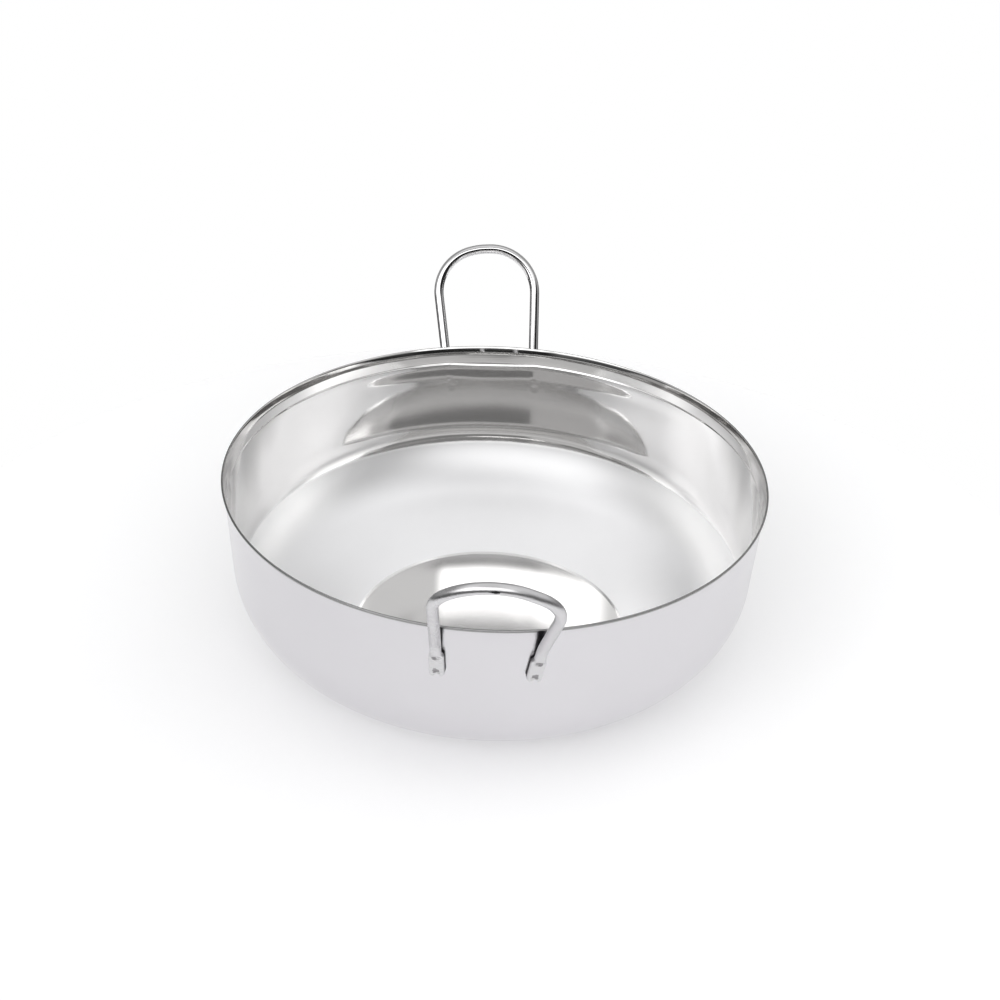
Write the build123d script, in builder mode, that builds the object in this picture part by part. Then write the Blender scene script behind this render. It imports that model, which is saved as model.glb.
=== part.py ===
from build123d import *
import os
from math import atan2, cos, radians, sin, sqrt, tan

# Two-handled open pan: a pressed steel bowl with a flared lip, a rounded corner and a small stamped
# base, and two bent-wire loop handles spot-welded to the outside of its wall.
# Millimetres. The origin is the centre of the base's underside, +Z is up, and the handles are at -Y
# (front) and +Y (rear).

# ---- driving dimensions -------------------------------------------------------------------------
rim_radius = 130.0            # outer radius of the open edge
bowl_height = 96.0            # underside of the base to the open edge
sheet = 1.0                   # thickness of the pressed sheet
lip_height = 9.0              # flared band under the open edge
lip_flare = 1.6               # how far the band leans out over its height
lip_crease_radius = 10.0
lip_curl_height = 3.4         # the band's last strip, under the open edge, which flares more
lip_curl_flare = 0.95
lip_curl_radius = 14.0
wall_taper = 3.0              # degrees that the wall leans out
corner_radius = 43.0          # outside radius between the wall and the dished bottom
dish_slope = 24.0             # degrees, the dished bottom against the horizontal
base_radius = 68.0            # stamped flat base
base_step = 1.0               # how far the base stands below the dish
base_step_run = 1.6
base_step_radius = 1.4

wire_diameter = 5.0
foot_width = 6.6              # the wire's ends are hammered flat into feet
foot_thickness = 3.0
foot_length = 12.5
foot_edge_radius = 0.9
foot_inlay = 0.2              # extra depth that is trimmed back to the wall's own curve
flattening_length = 1.8       # where the round wire turns into the flat foot
bend_height = 4.0             # from a foot's top to the bend that leans the loop out
bend_radius = 14.0
handle_lean = 31.0            # degrees that the loops lean out
handle_shift = -2.35          # the handles are welded this far to one side of the true diameter

nugget_diameter = 3.2
nugget_in_wall = 0.5
nugget_in_foot = 1.0
weld_offsets = (2.8, 9.9)     # weld centres below a foot's top
wall_dent_diameter = 5.0      # electrode mark inside the bowl
wall_dent_depth = 0.2
foot_dent_diameter = 2.4      # electrode mark on a foot's outer face
foot_dent_depth = 0.5

edge_round = 0.42             # the open edge is dressed smooth

# Each foot: its place across the handle, its top's depth under the open edge, and its slant in
# degrees (positive leans towards +X on the way up). Each loop: three corners of its outline, across
# and up along the lean from the bend, and the radius at each. The wire is bent by hand, so the two
# handles differ and neither is quite symmetric.
handles = {
    "front": {
        "side": -1,
        "feet": {"left": (-21.3, 12.6, -2.5), "right": (21.5, 13.6, 10.0)},
        "loop": ((-23.0, 48.5), (-1.5, 68.0), (30.0, 44.0)),
        "radii": (18.5, 24.0, 23.5),
    },
    "rear": {
        "side": 1,
        "feet": {"left": (-23.7, 12.6, -10.0), "right": (22.8, 12.6, -8.0)},
        "loop": ((-33.0, 55.0), (-9.0, 61.5), (22.0, 63.5)),
        "radii": (23.0, 30.0, 24.0),
    },
}

# ---- bowl outline -------------------------------------------------------------------------------
crease_radius_at_wall = rim_radius - lip_flare
crease_height = bowl_height - lip_height
wall_lean = tan(radians(wall_taper))
dish_rise = tan(radians(dish_slope))
dish_start = base_radius + base_step_run


def wall_radius(height):
    """Outside radius of the straight wall, between the corner and the lip."""
    return crease_radius_at_wall - (crease_height - height) * wall_lean


# where the straight wall and the straight dish would meet without the corner's radius
corner_z = (base_step + (wall_radius(0) - dish_start) * dish_rise) / (1 - wall_lean * dish_rise)
corner_r = wall_radius(corner_z)

outline = (
    (0, 0),
    (base_radius, 0),
    (dish_start, base_step),
    (corner_r, corner_z),
    (crease_radius_at_wall, crease_height),
    (rim_radius - lip_curl_flare, bowl_height - lip_curl_height),
    (rim_radius, bowl_height),
)
outline_radii = (base_step_radius, base_step_radius, corner_radius, lip_crease_radius, lip_curl_radius)


def foot_plane(side, foot, below_top=0):
    """Plane on the wall's outside at a foot: y up along the foot, z straight out of the wall."""
    across, top_depth, slant = foot
    top_z = bowl_height - top_depth
    top_x = handle_shift + across
    top_y = side * sqrt(wall_radius(top_z) ** 2 - top_x**2)
    azimuth = atan2(top_y, top_x)
    tilt = radians(wall_taper)
    outwards = Vector(cos(azimuth) * cos(tilt), sin(azimuth) * cos(tilt), -sin(tilt))
    level = Vector(-sin(azimuth), cos(azimuth), 0) * -side
    up_wall = outwards.cross(level) * -side
    up_foot = up_wall * cos(radians(slant)) + level * sin(radians(slant))
    origin = Vector(top_x, top_y, top_z) - up_foot * below_top
    return Plane(origin=origin, x_dir=up_foot.cross(outwards), z_dir=outwards)


def section_plane(side, foot, below_top=0):
    """Plane square to a foot, facing down along it, with y pointing straight out of the wall."""
    plane = foot_plane(side, foot, below_top)
    return Plane(origin=plane.origin, x_dir=plane.x_dir, z_dir=-plane.y_dir)


def handle_points(spec):
    """Corners of the round wire's centreline, from one foot's top over the loop to the other's."""
    side = spec["side"]
    tops = [foot_plane(side, foot) for foot in spec["feet"].values()]
    wire_radius = wire_diameter / 2
    starts = [plane.from_local_coords((0, 0, wire_radius)) for plane in tops]
    bends = [plane.from_local_coords((0, bend_height, wire_radius)) for plane in tops]
    middle = (bends[0] + bends[1]) / 2
    lean = radians(handle_lean)
    loop = [
        Vector(handle_shift + across, middle.Y + side * up * sin(lean), middle.Z + up * cos(lean))
        for across, up in spec["loop"]
    ]
    return [starts[0], bends[0], *loop, bends[1], starts[1]]


def foot_section():
    """Hammered end's outline: flat against the wall, rounded on its outer corners."""
    with BuildSketch() as section:
        with Locations((0, (foot_thickness - foot_inlay) / 2)):
            Rectangle(foot_width, foot_thickness + foot_inlay)
        fillet(section.vertices().group_by(Axis.Y)[-1], foot_edge_radius)
    return section.sketch


def dent_radius(diameter, depth):
    """Radius of the ball that leaves a dent of this diameter and depth in a flat face."""
    return ((diameter / 2) ** 2 + depth**2) / (2 * depth)


def make_welds(side, foot):
    """The two nuggets that join one foot to the wall."""
    with BuildPart() as welds:
        for offset_down in weld_offsets:
            with BuildSketch(foot_plane(side, foot, offset_down).offset(-nugget_in_wall)):
                Circle(nugget_diameter / 2)
            extrude(amount=nugget_in_wall + nugget_in_foot)
    return welds.part


def make_handle(spec, welds):
    """One wire handle: the bent round wire, two flat feet, and room for the weld nuggets."""
    side = spec["side"]
    with BuildPart() as handle:
        with BuildLine() as centreline:
            FilletPolyline(*handle_points(spec), radius=[bend_radius, *spec["radii"], bend_radius])
        with BuildSketch(Plane(origin=centreline.line @ 0, z_dir=centreline.line % 0)):
            Circle(wire_diameter / 2)
        sweep(path=centreline.line)
        for foot in spec["feet"].values():
            with BuildSketch(section_plane(side, foot)):
                with Locations((0, wire_diameter / 2)):
                    Circle(wire_diameter / 2)
            with BuildSketch(section_plane(side, foot, flattening_length)):
                add(foot_section())
            loft()
            with BuildSketch(section_plane(side, foot, flattening_length)):
                add(foot_section())
            extrude(amount=foot_length - flattening_length)
            for offset_down in weld_offsets:
                ball = dent_radius(foot_dent_diameter, foot_dent_depth)
                centre_out = foot_thickness + ball - foot_dent_depth
                with Locations(foot_plane(side, foot, offset_down).offset(centre_out).origin):
                    Sphere(ball, mode=Mode.SUBTRACT)
        with Locations((0, 0, crease_height / 2)):
            Cone(wall_radius(0), crease_radius_at_wall, crease_height, mode=Mode.SUBTRACT)
        for nuggets in welds:
            add(nuggets, mode=Mode.SUBTRACT)
    return handle.part


# ---- spot welds ---------------------------------------------------------------------------------
welds = {}
for end, spec in handles.items():
    for name, foot in spec["feet"].items():
        welds[f"{end}_{name}_welds"] = make_welds(spec["side"], foot)

# ---- bowl ---------------------------------------------------------------------------------------
with BuildPart() as bowl:
    with BuildSketch(Plane.XZ):
        with BuildLine() as outside:
            FilletPolyline(*outline, radius=outline_radii)
            offset(amount=sheet, side=Side.LEFT)
        make_face()
    revolve(axis=Axis.Z)
    fillet(bowl.edges().group_by(Axis.Z)[-1] + bowl.edges().group_by(Axis.Z)[-2], edge_round)
    for spec in handles.values():
        for foot in spec["feet"].values():
            for offset_down in weld_offsets:
                ball = dent_radius(wall_dent_diameter, wall_dent_depth)
                centre_in = sheet + ball - wall_dent_depth
                with Locations(foot_plane(spec["side"], foot, offset_down).offset(-centre_in).origin):
                    Sphere(ball, mode=Mode.SUBTRACT)
    for nuggets in welds.values():
        add(nuggets, mode=Mode.SUBTRACT)
bowl.part.label = "bowl"

# ---- write every piece --------------------------------------------------------------------------
pieces = {"bowl": bowl.part, **welds}
for end, spec in handles.items():
    own_welds = [part for name, part in welds.items() if name.startswith(end)]
    pieces[f"{end}_handle"] = make_handle(spec, own_welds)

os.makedirs("parts", exist_ok=True)
for name, piece in pieces.items():
    piece.label = name
    export_step(piece, f"parts/{name}.step")
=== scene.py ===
import math

import bpy
from mathutils import Matrix, Vector, noise


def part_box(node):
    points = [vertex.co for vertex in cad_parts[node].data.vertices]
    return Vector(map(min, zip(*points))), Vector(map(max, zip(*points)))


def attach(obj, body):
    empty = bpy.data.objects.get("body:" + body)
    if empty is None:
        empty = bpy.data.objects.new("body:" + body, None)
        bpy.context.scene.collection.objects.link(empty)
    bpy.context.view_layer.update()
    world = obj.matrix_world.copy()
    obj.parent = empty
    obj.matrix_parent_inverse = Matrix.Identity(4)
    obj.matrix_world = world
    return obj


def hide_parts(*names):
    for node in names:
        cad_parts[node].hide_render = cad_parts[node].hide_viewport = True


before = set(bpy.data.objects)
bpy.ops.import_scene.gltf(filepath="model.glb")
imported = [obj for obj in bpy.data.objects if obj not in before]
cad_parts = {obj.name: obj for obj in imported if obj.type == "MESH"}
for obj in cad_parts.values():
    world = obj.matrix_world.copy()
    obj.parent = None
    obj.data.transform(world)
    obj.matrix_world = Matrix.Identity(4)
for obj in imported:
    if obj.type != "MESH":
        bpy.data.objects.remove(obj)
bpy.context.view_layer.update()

# Two-handled open pan in polished steel. Metres; the origin is the centre of the base's underside,
# +Z is up, and the handles are at -Y (front) and +Y (rear).
mm = 0.001

# ---- sizes of the pan ---------------------------------------------------------------------------
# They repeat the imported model's, apart from flattening_length and loop_trim.
rim_radius, _, bowl_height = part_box("bowl")[1]
sheet = 1.0 * mm
lip_height = 9.0 * mm
lip_flare = 1.6 * mm
lip_crease_radius = 10.0 * mm
lip_curl_height = 3.4 * mm
lip_curl_flare = 0.95 * mm
lip_curl_radius = 14.0 * mm
wall_taper = math.radians(3.0)
corner_radius = 43.0 * mm
dish_slope = math.radians(24.0)
base_radius = 68.0 * mm
base_step = 1.0 * mm
base_step_run = 1.6 * mm
base_step_radius = 1.4 * mm
edge_round = 0.42 * mm

wire_radius = 2.5 * mm
foot_width = 6.6 * mm
foot_thickness = 3.0 * mm
foot_length = 12.5 * mm
flattening_length = 3.0 * mm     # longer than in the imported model, for a softer shoulder
bend_height = 4.0 * mm
bend_radius = 14.0 * mm
handle_lean = math.radians(31.0)
handle_shift = -2.35 * mm
loop_trim = 0.24 * mm            # shortens the loops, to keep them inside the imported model's facets
weld_offsets = (2.8 * mm, 9.9 * mm)

# Each foot: its place across the handle and its top's depth under the open edge, in millimetres,
# and its slant in degrees. Each loop: three corners of its outline, across and up along the lean
# from the bend, and the radius at each, in millimetres.
handles = {
    "front": {
        "side": -1,
        "feet": {"left": (-21.3, 12.6, -2.5), "right": (21.5, 13.6, 10.0)},
        "loop": ((-23.0, 48.5), (-1.5, 68.0), (30.0, 44.0)),
        "radii": (18.5, 24.0, 23.5),
    },
    "rear": {
        "side": 1,
        "feet": {"left": (-23.7, 12.6, -10.0), "right": (22.8, 12.6, -8.0)},
        "loop": ((-33.0, 55.0), (-9.0, 61.5), (22.0, 63.5)),
        "radii": (23.0, 30.0, 24.0),
    },
}

crease_radius_at_wall = rim_radius - lip_flare
crease_height = bowl_height - lip_height


# ---- small geometry helpers ---------------------------------------------------------------------
def smooth_step(low, high, value):
    """0 below low, 1 above high, and a smooth ramp between them. low may be above high."""
    t = min(1.0, max(0.0, (value - low) / (high - low)))
    return t * t * (3 - 2 * t)


def bell(value, width):
    """1 at 0, falling smoothly to nearly 0 past twice the width."""
    return math.exp(-((value / width) ** 2))


def rounded(points, radii, step_angle=math.radians(1.5)):
    """The polyline through points, with an arc of the given radius at each inner corner."""
    out = [points[0]]
    for before, corner, after, radius in zip(points, points[1:], points[2:], radii):
        back = (before - corner).normalized()
        on = (after - corner).normalized()
        opening = back.angle(on)
        centre = corner + (back + on).normalized() * radius / math.sin(opening / 2)
        start = corner + back * radius / math.tan(opening / 2) - centre
        end = corner + on * radius / math.tan(opening / 2) - centre
        turn = start.angle(end)
        steps = max(4, math.ceil(turn / step_angle))
        for k in range(steps + 1):
            share = k / steps
            blend = start * math.sin((1 - share) * turn) + end * math.sin(share * turn)
            out.append(centre + blend / math.sin(turn))
    out.append(points[-1])
    return out


def divided(points, longest):
    """The same line, with no run longer than the given length."""
    out = [points[0]]
    for a, b in zip(points, points[1:]):
        steps = max(1, math.ceil((b - a).length / longest))
        out += [a.lerp(b, k / steps) for k in range(1, steps + 1)]
    return out


def new_object(name, vertices, faces, materials, face_material=None):
    """A smooth-shaded mesh object."""
    mesh = bpy.data.meshes.new(name)
    mesh.from_pydata(vertices, [], faces)
    mesh.polygons.foreach_set("use_smooth", [True] * len(mesh.polygons))
    for material in materials:
        mesh.materials.append(material)
    if face_material:
        mesh.polygons.foreach_set("material_index", face_material)
    mesh.update()
    obj = bpy.data.objects.new(name, mesh)
    bpy.context.scene.collection.objects.link(obj)
    return obj


# ---- where the feet stand on the wall -----------------------------------------------------------
def wall_radius(height):
    """Outside radius of the straight wall, between the corner and the lip."""
    return crease_radius_at_wall - (crease_height - height) * math.tan(wall_taper)


def foot_axes(side, foot):
    """Origin at a foot's top on the wall, and the directions across it, up it and out of the wall."""
    across, top_depth, slant = foot[0] * mm, foot[1] * mm, math.radians(foot[2])
    top_z = bowl_height - top_depth
    top_x = handle_shift + across
    top_y = side * math.sqrt(wall_radius(top_z) ** 2 - top_x**2)
    azimuth = math.atan2(top_y, top_x)
    outwards = Vector((math.cos(azimuth), math.sin(azimuth), -math.tan(wall_taper))).normalized()
    level = Vector((-math.sin(azimuth), math.cos(azimuth), 0)) * -side
    up_wall = outwards.cross(level) * -side
    up_foot = up_wall * math.cos(slant) + level * math.sin(slant)
    return Vector((top_x, top_y, top_z)), up_foot.cross(outwards), up_foot, outwards


def weld_points():
    """The welds' centres on the wall's outside."""
    out = []
    for spec in handles.values():
        for foot in spec["feet"].values():
            origin, _, up_foot, _ = foot_axes(spec["side"], foot)
            out += [origin - up_foot * down for down in weld_offsets]
    return out


# ---- bowl ---------------------------------------------------------------------------------------
pressed_flat = 0.08 * mm         # how far welding pulls the wall in, midway between two feet
weld_mark_radius = 2.6 * mm      # electrode mark inside the bowl
weld_mark_depth = 0.035 * mm
ledge_depth = 0.4 * mm           # the inside stands in by this much just under the lip's crease
ledge_run = 0.9 * mm             # height over which it returns, a narrow upward-facing strip
ledge_dip = 1.2 * mm             # the strip runs lower between two feet
edge_shade_height = 0.9 * mm        # the outside carries a dark, duller band of painted shade this far under the open edge
bright_edge_share = 0.4          # share of the rounded edge that is burnished like the inside
longest_run = 1.6 * mm           # between two points of the outline
crease_band = 4.5 * mm           # the inside is divided finely this far above and below the crease
crease_steps = 8
edge_steps = 10                  # round the open edge
coarse_column = 0.75             # degrees between two columns of faces
fine_column = 0.25
foot_sector = 14                 # degrees to each side of a handle's middle that have fine columns
upper_wall = 60 * mm             # the ledge and the weld marks are above this height
wave_depth = 0.05 * mm           # upright press waves
wave_depth_at_sides = 0.12 * mm
wave_height = 45 * mm
waves_across = 9                 # per radius
pull_start = 38 * mm             # between these heights the wall begins to be pulled flat
pull_full = 66 * mm
wave_start = 22 * mm             # and between these the waves begin
wave_full = 40 * mm
wave_fade = 70 * mm              # above this height they fade out
ledge_lead = 9 * mm              # height over which the inside leans in below the ledge
ledge_at_sides = 0.25            # share of the ledge's depth that is left at the bowl's sides
least_gap = 0.1 * mm             # between two points of the section
weld_sector = 0.08               # radians to each side of a weld in which its mark is looked for
polished, outer_finish, edge_shade_band = 0, 1, 2    # the bowl's materials; the third is a dark band of painted shade at the open edge


def bowl_outline():
    """Outside of the sheet, from the centre of the base to the open edge, as (radius, height)."""
    dish_start = base_radius + base_step_run
    rise = math.tan(dish_slope)
    lean = math.tan(wall_taper)
    corner_z = (base_step + (wall_radius(0) - dish_start) * rise) / (1 - lean * rise)
    corners = [
        (0, 0),
        (base_radius, 0),
        (dish_start, base_step),
        (wall_radius(corner_z), corner_z),
        (crease_radius_at_wall, crease_height),
        (rim_radius - lip_curl_flare, bowl_height - lip_curl_height),
        (rim_radius, bowl_height),
    ]
    radii = (base_step_radius, base_step_radius, corner_radius, lip_crease_radius, lip_curl_radius)
    return divided(rounded([Vector(p) for p in corners], radii), longest_run)


def section_loop():
    """The sheet's closed section: up the inside, over the rounded edge and down the outside.
    Each entry is (radius, height, side), where side is 0 inside, 1 on the edge and 2 outside."""
    outside = bowl_outline()
    normals = []
    for k in range(len(outside)):
        along = (outside[min(k + 1, len(outside) - 1)] - outside[max(k - 1, 0)]).normalized()
        normals.append(Vector((-along.y, along.x)))
    normals[0] = Vector((0, 1))
    inside = [p + n * sheet for p, n in zip(outside, normals)]
    along = (outside[-1] - outside[-2]).normalized()
    middle = (outside[-1] + inside[-1]) / 2 - along * edge_round
    half_flat = sheet / 2 - edge_round
    edge = []
    for k in range(edge_steps + 1):
        angle = math.pi * k / edge_steps
        flat = half_flat if angle < math.pi / 2 else -half_flat
        offset = normals[-1] * (math.cos(angle) * edge_round + flat) + along * math.sin(angle) * edge_round
        edge.append(middle + offset)
    trim = edge_round * 1.01     # just past the rounding, so that no two points coincide
    inner = [p for p in inside if (p - inside[-1]).length > trim]
    fine = []
    for a, b in zip(inner, inner[1:]):
        near = abs(a.y - crease_height) < crease_band
        fine += [a.lerp(b, k / crease_steps) for k in range(crease_steps)] if near else [a]
    inner = fine + inner[-1:]
    outer = [p for p in outside if (p - outside[-1]).length > edge_shade_height + least_gap]
    strip = [outside[-1] - along * trim, outside[-1] - along * edge_shade_height]
    loop = [(p.x, p.y, 0) for p in inner]
    loop += [(p.x, p.y, 0 if k < edge_steps * bright_edge_share else 1) for k, p in enumerate(edge)]
    loop += [(p.x, p.y, 1) for p in strip]
    return loop + [(p.x, p.y, 2) for p in reversed(outer)]


def azimuths():
    """Directions of the bowl's columns of faces, closer together behind the handles' feet."""
    out = []
    angle = 0.0
    while angle < 360 - 1e-6:
        out.append(math.radians(angle))
        from_handle = abs((angle % 180) - 90)
        angle += fine_column if from_handle < foot_sector else coarse_column
    return out


def wall_shift(azimuth, height):
    """How far the wall stands out of round at a place: pulled flat between two feet, and faint
    upright waves from the press."""
    shift = 0.0
    up_share = smooth_step(pull_start, pull_full, height)
    up_share *= smooth_step(bowl_height, crease_height - 4 * mm, height)
    for spec in handles.values():
        feet = [foot[0] * mm + handle_shift for foot in spec["feet"].values()]
        x = crease_radius_at_wall * math.cos(azimuth)
        if math.sin(azimuth) * spec["side"] > 0 and feet[0] < x < feet[1]:
            middle = (feet[0] + feet[1]) / 2
            across = (x - middle) / (feet[1] - middle)
            shift -= pressed_flat * (1 - across**2) * up_share
    wave_share = smooth_step(wave_start, wave_full, height)
    wave_share *= smooth_step(bowl_height - 2 * mm, wave_fade, height)
    across = waves_across * math.cos(azimuth), waves_across * math.sin(azimuth)
    wave = noise.noise(Vector((*across, height / wave_height))) - 0.5
    at_side = smooth_step(0.75, 0.95, abs(math.cos(azimuth)))
    depth = wave_depth + (wave_depth_at_sides - wave_depth) * at_side
    return shift + wave * depth * wave_share


def ledge(azimuth, height):
    """How far the inside stands in under the lip's crease."""
    line = crease_height
    for spec in handles.values():
        feet = [foot[0] * mm + handle_shift for foot in spec["feet"].values()]
        middle, half = (feet[0] + feet[1]) / 2, (feet[1] - feet[0]) / 2
        across = (crease_radius_at_wall * math.cos(azimuth) - middle) / half
        if math.sin(azimuth) * spec["side"] > 0 and abs(across) < 1:
            line -= ledge_dip * (1 - across**2)
    below = smooth_step(line - ledge_lead, line - ledge_run, height)
    to_handle = smooth_step(0.4, 0.8, abs(math.sin(azimuth)))
    below *= ledge_at_sides + (1 - ledge_at_sides) * to_handle
    return ledge_depth * below * smooth_step(line + ledge_run / 2, line - ledge_run / 2, height)


def weld_mark(point, marks):
    """Depth of the electrodes' round marks at a point of the inside."""
    depth = 0.0
    for centre in marks:
        away = (point - centre).length / weld_mark_radius
        if away < 2:
            depth += weld_mark_depth * (bell(away, 0.75) - 0.55 * bell(away - 1.0, 0.22))
    return depth


def make_bowl(materials):
    """The pressed bowl: one closed sheet, smooth enough to mirror its surroundings."""
    loop = section_loop()
    columns = azimuths()
    welds = weld_points()
    vertices = []
    faces = []
    face_material = []
    vertices += [(0, 0, loop[0][1]), (0, 0, loop[-1][1])]
    centre_in, centre_out = 0, 1
    ring = [entry for entry in loop if entry[0] > least_gap]
    first = len(vertices)
    for azimuth in columns:
        c, s = math.cos(azimuth), math.sin(azimuth)
        near = [w for w in welds if (w.xy.normalized() - Vector((c, s))).length < weld_sector]
        for radius, height, side in ring:
            r = radius
            if height > wave_start:
                r += wall_shift(azimuth, height)
            point = Vector((r * c, r * s, height))
            if side == 0 and height > upper_wall:
                r -= ledge(azimuth, height)
                r += weld_mark(point, [w - w.xy.normalized().to_3d() * sheet for w in near])
            vertices.append((r * c, r * s, height))
    rows = len(ring)
    for k in range(len(columns)):
        a = first + k * rows
        b = first + (k + 1) % len(columns) * rows
        faces.append((centre_in, a, b))
        face_material.append(polished)
        for j in range(rows - 1):
            faces.append((a + j, a + j + 1, b + j + 1, b + j))
            sides = (ring[j][2], ring[j + 1][2])
            # The band under the open edge gets the dark material: painted shade, with a duller finish.
            face_material.append({(0, 0): polished, (2, 2): outer_finish}.get(sides, edge_shade_band))
        faces.append((centre_out, b + rows - 1, a + rows - 1))
        face_material.append(outer_finish)
    return new_object("pressed_bowl", vertices, faces, materials, face_material)


# ---- handles ------------------------------------------------------------------------------------
wire_sides = 56                  # points round the wire
wire_step = math.radians(2.5)    # turn between two rings in a bend
longest_ring_gap = 1.2 * mm
foot_row = 0.25 * mm             # between two rings of a foot
dimple_radius = 1.25 * mm        # electrode dimples in a foot's outer face
dimple_depth = 0.5 * mm
dimple_lip = 0.08 * mm
hammer_size = 1.6 * mm           # hammer marks
hammer_depth = 0.10 * mm
outer_face = 0.6                 # share of the foot's thickness above which a point is on the outer face
spot_radius = 1.45 * mm          # grey spot in a dimple
spot_ragged = 0.7 * mm
wall_shade_height = 0.3                # share of the foot's thickness, on its side against the wall, that is painted dark as shade
ragged_rows = 6                  # rings over which the foot's lower end is uneven
notch_depth = 1.3 * mm
corner_cut = 0.8 * mm
dark_reach = 13 * mm             # how far up the wire from a foot's top its wall side is painted dark as shade
dark_top = bowl_height - 4.5 * mm
wall_side = 0.35                 # cosine of the widest angle from the wall that is still painted as shade
top_shade_spot = (2.4 * mm, 0.8 * mm)  # half width and half height of the painted shade spot under the front loop's top
top_shade_shift = 1.0 * mm
top_shade_back = 1.5 * mm         # how far the painted shade spot goes back from its centre
plain, grey, dark = 0, 1, 2      # the wire's materials: plain, grey spots in the dimples, and dark painted shade


def handle_route(spec):
    """The round wire's centreline, from one foot's top over the loop to the other's."""
    side = spec["side"]
    tops = [foot_axes(side, foot) for foot in spec["feet"].values()]
    starts = [origin + out * wire_radius for origin, _, _, out in tops]
    bends = [start + top[2] * bend_height for start, top in zip(starts, tops)]
    middle = (bends[0] + bends[1]) / 2
    loop = []
    for across, up in spec["loop"]:
        reach = up * mm - loop_trim
        x = handle_shift + across * mm
        y = middle.y + side * reach * math.sin(handle_lean)
        loop.append(Vector((x, y, middle.z + reach * math.cos(handle_lean))))
    radii = [bend_radius, *[radius * mm for radius in spec["radii"]], bend_radius]
    route = rounded([starts[0], bends[0], *loop, bends[1], starts[1]], radii, wire_step)
    return divided(route, longest_ring_gap)


def wire_section(flat):
    """Outline across the wire as (across, out), out measured from the wall: round at flat 0 and a
    hammered foot at flat 1, squarer against the wall than on its outer face."""
    out = []
    for k in range(wire_sides):
        angle = 2 * math.pi * k / wire_sides
        c, s = math.cos(angle), math.sin(angle)
        round_point = Vector((wire_radius * c, wire_radius * (1 + s)))
        power = 0.42 if s > 0 else 0.2
        across = math.copysign(abs(c) ** power, c) * foot_width / 2
        thick = foot_thickness / 2 * (1 + math.copysign(abs(s) ** power, s))
        out.append(round_point.lerp(Vector((across, thick)), flat))
    return out


def foot_relief(across, down, seed):
    """How far the hammered face stands under its plane: two electrode dimples and hammer marks."""
    depth = 0.0
    off_centre = 0.3 * mm * math.sin(seed)
    for offset in weld_offsets:
        away = math.hypot(across - off_centre, down - offset) / dimple_radius
        depth += dimple_depth * bell(away, 0.8) - dimple_lip * bell(away - 1.5, 0.35)
    place = Vector((across, down, seed * mm)) / hammer_size
    return depth + hammer_depth * noise.noise(place)


def foot_finish(across, down, facing, seed):
    """Which material a place on a foot has: painted shade along the side against the wall and grey spots in
    the dimples.
    """
    ragged = spot_ragged * noise.noise(Vector((across, down, seed * mm)) / spot_ragged)
    spots = [math.hypot(across, down - offset) + ragged for offset in weld_offsets]
    if facing < wall_shade_height:
        return dark
    return grey if facing > outer_face and min(spots) < spot_radius else plain


def foot_skin(side, foot, seed):
    """A foot's rings of points, from its lower end to its top, and the materials of their faces."""
    origin, right, up, out = foot_axes(side, foot)
    steps = round(foot_length / foot_row)
    rings = []
    finishes = []
    for k in range(steps + 1):
        down = foot_length * (1 - k / steps)
        flat = smooth_step(0, flattening_length, down)
        uneven = (1 - k / ragged_rows) ** 0.5 if k < ragged_rows else 0
        ring = []
        finish = []
        for across, thick in wire_section(flat):
            facing = thick / foot_thickness
            finish.append(foot_finish(across, down, facing, seed))
            if facing > outer_face and flat > 0:
                thick -= foot_relief(across, down, seed) * flat * smooth_step(outer_face, 0.9, facing)
            notch = notch_depth * bell(across - 0.4 * mm, 0.9 * mm)
            corner = corner_cut * smooth_step(0.6, 1.0, abs(across) / (foot_width / 2))
            lower = down - (notch + corner) * uneven
            ring.append(origin + right * across + out * thick - up * lower)
        rings.append(ring)
        finishes.append(finish)
    return rings, finishes


def in_top_shade(place, route, side):
    """Whether a place is in the small dark spot of painted shade under the loop's top."""
    top = max(route, key=lambda point: point.z)
    centre = top + Vector((top_shade_shift, side * wire_radius * 0.99, -0.1 * wire_radius))
    away = place - centre
    inside = abs(away.x) / top_shade_spot[0] + abs(away.z) / top_shade_spot[1] < 1
    return inside and away.y * side > -top_shade_back


def tube_frames(spec, route):
    """Each of the route's points with two directions across the wire, which turn evenly on the way
    so that the first and the last ring meet the feet."""
    first_foot, last_foot = [foot_axes(spec["side"], foot) for foot in spec["feet"].values()]
    tangent = (route[1] - route[0]).normalized()
    x_axis = (first_foot[1] - tangent * first_foot[1].dot(tangent)).normalized()
    frames = []
    for k, point in enumerate(route):
        onwards = (route[min(k + 1, len(route) - 1)] - route[max(k - 1, 0)]).normalized()
        x_axis = tangent.rotation_difference(onwards) @ x_axis
        tangent = onwards
        frames.append((point, x_axis, x_axis.cross(tangent)))
    _, last_x, last_y = frames[-1]
    last_across = -last_foot[1]
    return frames, math.atan2(last_across.dot(last_y), last_across.dot(last_x))


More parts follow.
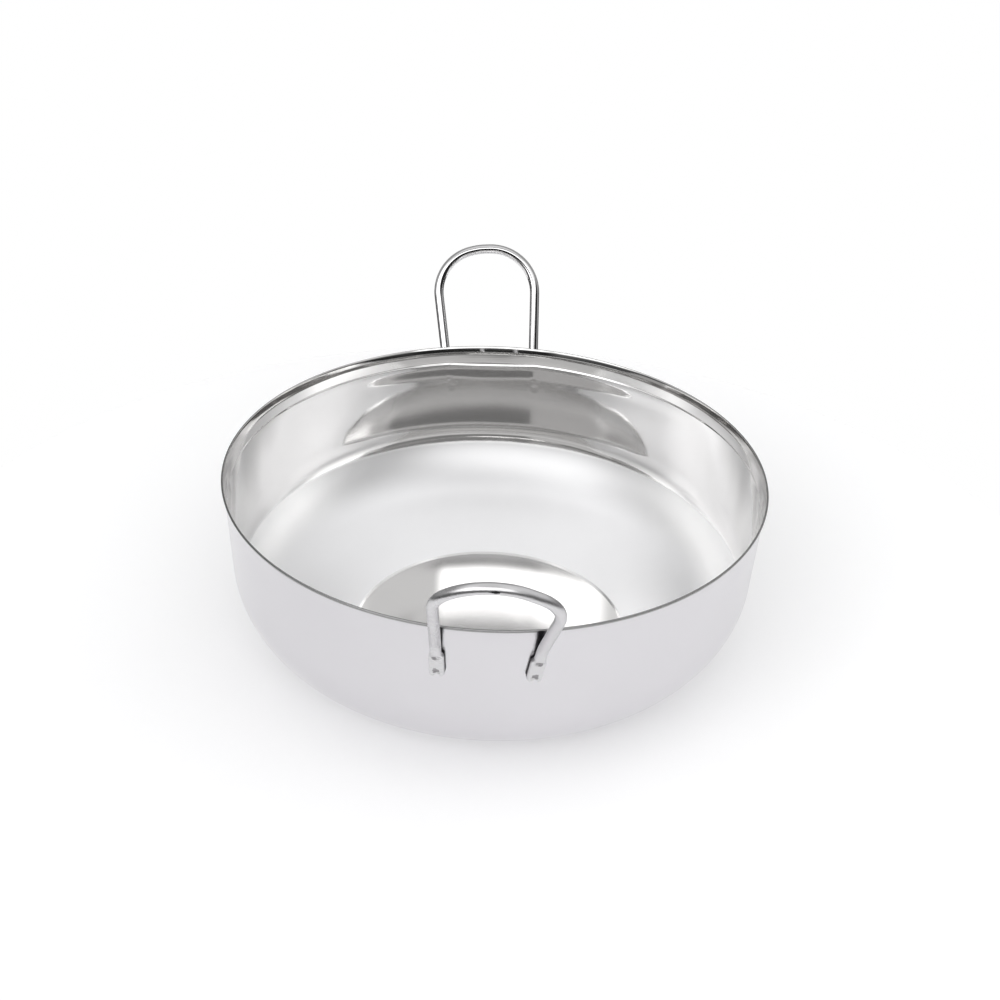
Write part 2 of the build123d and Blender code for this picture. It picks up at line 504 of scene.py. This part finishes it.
def tube_skin(spec):
    """The round wire's rings of points, between the feet's tops, and their faces' materials."""
    side = spec["side"]
    route = handle_route(spec)
    frames, twist = tube_frames(spec, route)
    rings = []
    finishes = []
    for k, (point, x_axis, y_axis) in enumerate(frames):
        turn = twist * k / (len(frames) - 1)
        from_foot = min((point - route[0]).length, (point - route[-1]).length)
        by_foot = from_foot < dark_reach and point.z < dark_top
        ring = []
        finish = []
        for j in range(wire_sides):
            angle = 2 * math.pi * j / wire_sides + turn
            offset = x_axis * math.cos(angle) + y_axis * math.sin(angle)
            place = point + offset * wire_radius
            # Near each foot the wire's side towards the wall is painted dark: painted shade in the gap
            # between wire and wall.
            faces_wall = by_foot and -side * offset.y > wall_side
            # A small dark spot of painted shade under the front loop's top.
            shaded = side < 0 and in_top_shade(place, route, side)
            ring.append(place)
            finish.append(dark if faces_wall or shaded else plain)
        rings.append(ring)
        finishes.append(finish)
    return rings, finishes


def from_top(rows):
    """A foot's rows as the wire meets them at its far end: from the top down, and turned over."""
    half = wire_sides // 2
    return [[row[(half - j) % wire_sides] for j in range(wire_sides)] for row in reversed(rows)]


def make_handle(name, spec, materials):
    """One bent wire with its two hammered feet, as one closed skin."""
    side = spec["side"]
    seeds = (1.7 + side, 4.6 + side)
    near, far = [foot_skin(side, foot, seed) for foot, seed in zip(spec["feet"].values(), seeds)]
    tube = tube_skin(spec)
    rings = near[0][:-1] + tube[0] + from_top(far[0])[1:]
    finishes = near[1][:-1] + tube[1] + from_top(far[1])[1:]
    vertices = [point for ring in rings for point in ring]
    faces = []
    face_material = []
    for k in range(len(rings) - 1):
        for j in range(wire_sides):
            a = k * wire_sides + j
            b = k * wire_sides + (j + 1) % wire_sides
            faces.append((a, b, b + wire_sides, a + wire_sides))
            face_material.append(finishes[k][j])
    for start in (0, (len(rings) - 1) * wire_sides):
        hub = len(vertices)
        vertices.append(sum(vertices[start:start + wire_sides], Vector()) / wire_sides)
        for j in range(wire_sides):
            a, b = start + j, start + (j + 1) % wire_sides
            faces.append((hub, b, a) if start == 0 else (hub, a, b))
            face_material.append(plain)
    return new_object(name, vertices, faces, materials, face_material)


# ---- materials ----------------------------------------------------------------------------------
class Graph:
    """Short calls for shader nodes."""

    def __init__(self, tree):
        self.tree = tree

    def put(self, socket, value):
        """Set a socket to a number, colour or vector, or link it to another node's output."""
        if isinstance(value, (int, float)):
            socket.default_value = value
        elif isinstance(value, tuple):
            socket.default_value = (*value, 1)[:len(socket.default_value)]
        else:
            self.tree.links.new(value, socket)

    def split(self, vector):
        node = self.tree.nodes.new("ShaderNodeSeparateXYZ")
        self.put(node.inputs[0], vector)
        return node.outputs

    def math(self, kind, *values):
        node = self.tree.nodes.new("ShaderNodeMath")
        node.operation = kind
        for socket, value in zip(node.inputs, values):
            self.put(socket, value)
        return node.outputs[0]

    def ramp(self, value, low, high, at_low, at_high):
        """A smooth ramp from at_low to at_high."""
        node = self.tree.nodes.new("ShaderNodeMapRange")
        node.interpolation_type = "SMOOTHSTEP"
        names = ("Value", "From Min", "From Max", "To Min", "To Max")
        for name, number in zip(names, (value, low, high, at_low, at_high)):
            self.put(node.inputs[name], number)
        return node.outputs["Result"]

    def mix(self, share, low, high):
        """low where share is 0 and high where it is 1. high is a number or a colour."""
        node = self.tree.nodes.new("ShaderNodeMix")
        node.data_type = "RGBA" if isinstance(high, tuple) else "FLOAT"
        first_input, output = (6, 2) if isinstance(high, tuple) else (2, 0)
        self.put(node.inputs[0], share)
        self.put(node.inputs[first_input], low)
        self.put(node.inputs[first_input + 1], high)
        return node.outputs[output]

    def noise(self, vector, scale, detail):
        node = self.tree.nodes.new("ShaderNodeTexNoise")
        node.inputs["Scale"].default_value = scale
        node.inputs["Detail"].default_value = detail
        self.put(node.inputs["Vector"], vector)
        return node.outputs["Fac"]

    def around_half(self, value, strength):
        """A 0 to 1 pattern, centred on 0 and scaled."""
        return self.math("MULTIPLY", self.math("SUBTRACT", value, 0.5), strength)


line_turn = 1.2                  # how soon a polishing line ends on its way round, per radian
patch_scale = 22.0               # smudges, per metre
patch_shade = (0.96, 1.03)       # how far the smudges darken and lighten the metal
line_height = 0.02 * mm          # polishing lines


def steel(name, colour, roughness, smudge, lines, line_scale, bump, zones=()):
    """Polished steel: roughness varied by smudges and by fine polishing lines that run round the
    bowl's axis. Each zone is (radius, soft edge, colour, roughness, ramp): the colour and roughness
    inside that radius, from the widest zone to the narrowest; a zone's colour can be painted light
    or shade. ramp gives the shares of the way from the axis to the rear handle between which the
    zone comes in; without it the zone goes all round."""
    material = bpy.data.materials.new(name)
    material.use_nodes = True
    tree = material.node_tree
    graph = Graph(tree)
    shader = tree.nodes["Principled BSDF"]
    shader.inputs["Metallic"].default_value = 1.0
    place = tree.nodes.new("ShaderNodeTexCoord").outputs["Object"]
    x, y, z = graph.split(place)
    radius = graph.math("SQRT", graph.math("ADD", graph.math("POWER", x, 2.0), graph.math("POWER", y, 2.0)))
    around = tree.nodes.new("ShaderNodeCombineXYZ")
    graph.put(around.inputs[0], graph.math("MULTIPLY", radius, line_scale))
    graph.put(around.inputs[1], graph.math("MULTIPLY", z, line_scale))
    graph.put(around.inputs[2], graph.math("MULTIPLY", graph.math("ARCTAN2", y, x), line_turn))
    fine = graph.noise(around.outputs[0], 1.0, 3.0)
    patches = graph.noise(place, patch_scale, 4.0)

    tone = colour
    level = roughness
    to_rear = graph.math("DIVIDE", y, radius)
    for zone_radius, soft, zone_colour, zone_roughness, ramp in zones:
        share = graph.ramp(radius, zone_radius - soft, zone_radius + soft, 1, 0)
        if ramp:
            share = graph.math("MULTIPLY", share, graph.ramp(to_rear, *ramp, 0, 1))
        tone = graph.mix(share, tone, zone_colour)
        level = graph.mix(share, level, zone_roughness)
    spread = graph.math("ADD", graph.around_half(patches, smudge), graph.around_half(fine, lines))
    graph.put(shader.inputs["Roughness"], graph.math("ADD", spread, level))

    shade = tree.nodes.new("ShaderNodeMapRange")
    shade.inputs["To Min"].default_value, shade.inputs["To Max"].default_value = patch_shade
    graph.put(shade.inputs["Value"], patches)
    scaled = tree.nodes.new("ShaderNodeVectorMath")
    scaled.operation = "SCALE"
    graph.put(scaled.inputs[0], tone)
    graph.put(scaled.inputs["Scale"], shade.outputs["Result"])
    graph.put(shader.inputs["Base Color"], scaled.outputs[0])

    relief = tree.nodes.new("ShaderNodeBump")
    relief.inputs["Strength"].default_value = bump
    relief.inputs["Distance"].default_value = line_height
    graph.put(relief.inputs["Height"], fine)
    graph.put(shader.inputs["Normal"], relief.outputs["Normal"])
    return material


# ---- camera -------------------------------------------------------------------------------------
def place_camera():
    """The viewpoint: 32 degrees above the rim's plane, from the front handle's side."""
    elevation = math.radians(32.044)
    swing = math.radians(-1.2)
    roll = math.radians(2.45)
    distance = 0.766
    target_right = -2.0 * mm
    target_down = -15.2 * mm
    focal_length = 57.6
    sensor_width = 36
    forward = Vector((0, math.cos(elevation), -math.sin(elevation)))
    level = Vector((1, 0, 0))
    upright = Vector((0, math.sin(elevation), math.cos(elevation)))
    right = level * math.cos(roll) + upright * math.sin(roll)
    up = upright * math.cos(roll) - level * math.sin(roll)
    pose = Matrix((right, up, -forward)).transposed().to_4x4()
    pose.translation = up * target_down - right * target_right - forward * distance
    lens = bpy.data.cameras.new("camera")
    lens.lens = focal_length
    lens.sensor_width = sensor_width
    camera = bpy.data.objects.new("camera", lens)
    rim_centre = Matrix.Translation((0, 0, bowl_height))
    camera.matrix_world = rim_centre @ Matrix.Rotation(swing, 4, "Z") @ pose
    bpy.context.scene.collection.objects.link(camera)
    bpy.context.scene.camera = camera


# ---- studio -------------------------------------------------------------------------------------
# Soft cards round the pan, as seen from it: azimuth from the rear handle's side, clockwise from
# above, and elevation, their half widths, the width of their soft edge, all in degrees, and their
# brightness. A later card covers an earlier one.
cards = [
    ("back_grey", 0, 28, 100, 34, 12, 0.38),
    ("back_low", -27, 29, 50, 13, 14, 0.34),
    ("left_key", -156, 29, 36, 19, 16, 2.75),
    ("right_key", 171, 29, 17, 19, 8, 2.6),
    ("overhead_front", 178, 60, 36, 9, 11, 0.42),
    ("front_opening", 152, 14, 52, 21, 8, 0.02),
]
# Further cards on a clear screen, which add light for the bowl, the floor and the front wire only.
screen_cards = [
    ("back_fill", 0, 56, 112, 12, 8, 0.5),
    ("back_right_fill", 66, 29, 36, 15, 10, 0.5),
    ("front_fill", 172, 23, 30, 13, 8, 2.5),
    ("side_fill", 122, 22, 20, 14, 10, 0.6),
]
ambient = 1.0                    # brightness of the studio where no card is
zenith = 0.8
horizon = 0.07
ambient_from = (6, 15)           # elevations, in degrees, between which it changes
zenith_from = (52, 64)
screen_distance = 3.0
backdrop_distance = 5.0
floor_radius = 320 * mm
floor_glow = 0.11


class Sky(Graph):
    """The nodes that paint cards by the direction in which they are seen from the pan."""

    def __init__(self, tree, direction):
        super().__init__(tree)
        x, y, z = self.split(direction)
        self.azimuth = self.math("ARCTAN2", x, y)
        self.elevation = self.math("ARCSINE", z)

    def within(self, off, half, soft):
        """1 nearer than half to the middle and 0 further away, with a soft edge, in degrees."""
        return self.ramp(off, math.radians(half - soft / 2), math.radians(half + soft / 2), 1, 0)

    def cover(self, card):
        """1 on a card, 0 off it, with its soft edge between."""
        _, azimuth, elevation, half_wide, half_high, soft, _ = card
        aside = self.math("SUBTRACT", self.azimuth, math.radians(azimuth))
        aside = self.math("ABSOLUTE", self.math("WRAP", aside, math.pi, -math.pi))
        above = self.math("ABSOLUTE", self.math("SUBTRACT", self.elevation, math.radians(elevation)))
        wide = self.within(aside, half_wide, soft)
        return self.math("MULTIPLY", wide, self.within(above, half_high, soft))

    def rise(self, low, high, at_low, at_high):
        """A ramp over the elevation, in degrees."""
        return self.ramp(self.elevation, math.radians(low), math.radians(high), at_low, at_high)

    def with_cards(self, level, shown):
        for card in shown:
            level = self.mix(self.cover(card), level, card[-1])
        return level


def make_world():
    """The studio all round: dark at the horizon, pale above it and dimmer overhead, with cards."""
    world = bpy.data.worlds.new("studio")
    world.use_nodes = True
    bpy.context.scene.world = world
    tree = world.node_tree
    sky = Sky(tree, tree.nodes.new("ShaderNodeTexCoord").outputs["Generated"])
    level = sky.rise(*ambient_from, horizon, ambient)
    level = sky.mix(sky.rise(*zenith_from, 0, 1), level, zenith)
    background = tree.nodes["Background"]
    background.inputs["Color"].default_value = (1, 1, 1, 1)
    sky.put(background.inputs["Strength"], sky.with_cards(level, cards))


def make_dome(name, distance, lowest, highest, columns, rows, material):
    """Part of a sphere round the origin, between two elevations in degrees."""
    vertices = []
    faces = []
    for k in range(columns):
        azimuth = 2 * math.pi * k / columns
        for j in range(rows + 1):
            elevation = math.radians(lowest + (highest - lowest) * j / rows)
            flat = distance * math.cos(elevation)
            height = distance * math.sin(elevation)
            vertices.append((flat * math.cos(azimuth), flat * math.sin(azimuth), height))
    for k in range(columns):
        for j in range(rows):
            a = k * (rows + 1) + j
            b = (k + 1) % columns * (rows + 1) + j
            faces.append((a, b, b + 1, a + 1))
    dome = new_object(name, vertices, faces, [material])
    return dome


def glowing(name):
    """A material that only glows, with its nodes: the whole tree, the glow and the output."""
    material = bpy.data.materials.new(name)
    material.use_nodes = True
    tree = material.node_tree
    tree.nodes.clear()
    glow = tree.nodes.new("ShaderNodeEmission")
    glow.inputs["Color"].default_value = (1, 1, 1, 1)
    output = tree.nodes.new("ShaderNodeOutputMaterial")
    tree.links.new(glow.outputs[0], output.inputs["Surface"])
    return material, tree, glow, output


def make_screen(receivers):
    """The clear screen with its cards, all round the pan, which lights the receivers only."""
    material, tree, glow, output = glowing("fill_light")
    unit = tree.nodes.new("ShaderNodeVectorMath")
    unit.operation = "NORMALIZE"
    tree.links.new(tree.nodes.new("ShaderNodeTexCoord").outputs["Object"], unit.inputs[0])
    sky = Sky(tree, unit.outputs[0])
    sky.put(glow.inputs["Strength"], sky.with_cards(0.0, screen_cards))
    both = tree.nodes.new("ShaderNodeAddShader")
    clear = tree.nodes.new("ShaderNodeBsdfTransparent")
    tree.links.new(glow.outputs[0], both.inputs[0])
    tree.links.new(clear.outputs[0], both.inputs[1])
    tree.links.new(both.outputs[0], output.inputs["Surface"])
    screen = make_dome("fill_screen", screen_distance, 1, 80, 96, 20, material)
    screen.visible_camera = False
    screen.visible_shadow = False
    lit = bpy.data.collections.new("lit_by_fill")
    for obj in receivers:
        lit.objects.link(obj)
    screen.light_linking.receiver_collection = lit


def make_backdrop():
    """A pale dome that only the camera sees, behind whatever the pan is seen against."""
    material, _, glow, _ = glowing("backdrop")
    glow.inputs["Strength"].default_value = 1.0
    dome = make_dome("backdrop", backdrop_distance, -89.9, 89.9, 48, 24, material)
    dome.visible_diffuse = False
    dome.visible_glossy = False
    dome.visible_transmission = False
    dome.visible_shadow = False


def make_floor():
    """A round sheet of pale paper, which the backdrop carries on in the camera's sight."""
    material = bpy.data.materials.new("paper")
    material.use_nodes = True
    shader = material.node_tree.nodes["Principled BSDF"]
    shader.inputs["Base Color"].default_value = (0.94, 0.94, 0.945, 1)
    shader.inputs["Roughness"].default_value = 0.95
    shader.inputs["Emission Color"].default_value = (1, 1, 1, 1)
    shader.inputs["Emission Strength"].default_value = floor_glow
    corners = [(0, 0, 0)]
    sides = 96
    for k in range(sides):
        azimuth = 2 * math.pi * k / sides
        corners.append((floor_radius * math.cos(azimuth), floor_radius * math.sin(azimuth), 0))
    faces = [(0, 1 + k, 1 + (k + 1) % sides) for k in range(sides)]
    floor = new_object("floor", corners, faces, [material])
    return floor


# ---- assembly -----------------------------------------------------------------------------------
# The inside's zones paint light and shade: near white on the satin band and dish away from the front, a
# painted reflection of bright light, and grey in the band towards the rear handle, painted shade. Their
# higher roughness is a satin finish; the last zone is the mirror-polished disc in the middle.
steel_inside_painted_light = steel("inside_polish_and_painted_light", (0.71, 0.705, 0.70), 0.045, 0.03, 0.03, 2500, 0.12, zones=(
    (123 * mm, 0.5 * mm, (0.95, 0.95, 0.95), 0.45, (-0.5, -0.2)),
    (123 * mm, 0.5 * mm, (0.60, 0.60, 0.605), 0.45, (0.5, 0.85)),
    (112 * mm, 7 * mm, (0.94, 0.94, 0.95), 0.45, (-0.5, -0.2)),
    (68.8 * mm, 0.6 * mm, (0.78, 0.775, 0.775), 0.12, None),
))
outside_steel = steel("polished_outside", (0.67, 0.66, 0.68), 0.20, 0.04, 0.05, 2500, 0.15)
# Dark colour painted as a shade line along the open edge; its higher roughness is a duller edge finish.
edge_shade_steel = steel("edge_shade_line", (0.3, 0.3, 0.3), 0.22, 0.04, 0.04, 2500, 0.2)
# The two wires are copies of one steel: the front's darker colour is painted shade, and its higher
# roughness is a satin finish.
bright_wire = steel("bright_wire", (0.78, 0.775, 0.78), 0.09, 0.05, 0.04, 1500, 0.1)
satin_shaded_wire = steel("front_wire_painted_shade", (0.65, 0.645, 0.655), 0.30, 0.35, 0.15, 1500, 0.8)
# Grey colour for the spots in the feet's dimples.
dimple_grey = steel("dimple_grey", (0.36, 0.35, 0.36), 0.45, 0.2, 0.1, 1500, 0.6)
# Plain dark colour for painted shade: the wires' sides against the wall near the feet and a spot under the
# front loop's top.
painted_shade_steel = steel("painted_shade_steel", (0.04, 0.038, 0.04), 0.5, 0.2, 0.1, 1500, 0.6)
weld_metal = steel("weld_metal", (0.5, 0.49, 0.48), 0.45, 0.2, 0.1, 1500, 0.6)

bowl = make_bowl([steel_inside_painted_light, outside_steel, edge_shade_steel])
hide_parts("bowl")
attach(bowl, "root")
wires = {}
for end, material in (("front", satin_shaded_wire), ("rear", bright_wire)):
    wire = make_handle(f"{end}_wire", handles[end], [material, dimple_grey, painted_shade_steel])
    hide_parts(f"{end}_handle")
    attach(wire, "root")
    wires[end] = wire
for end, spec in handles.items():
    for side_name in spec["feet"]:
        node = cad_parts[f"{end}_{side_name}_welds"]
        node.data.materials.clear()
        node.data.materials.append(weld_metal)

floor = make_floor()
make_backdrop()
make_world()
make_screen([bowl, floor, wires["front"]])
place_camera()
bpy.context.scene.view_settings.view_transform = "Standard"
bpy.context.scene.cycles.max_bounces = 32
bpy.context.scene.cycles.glossy_bounces = 32
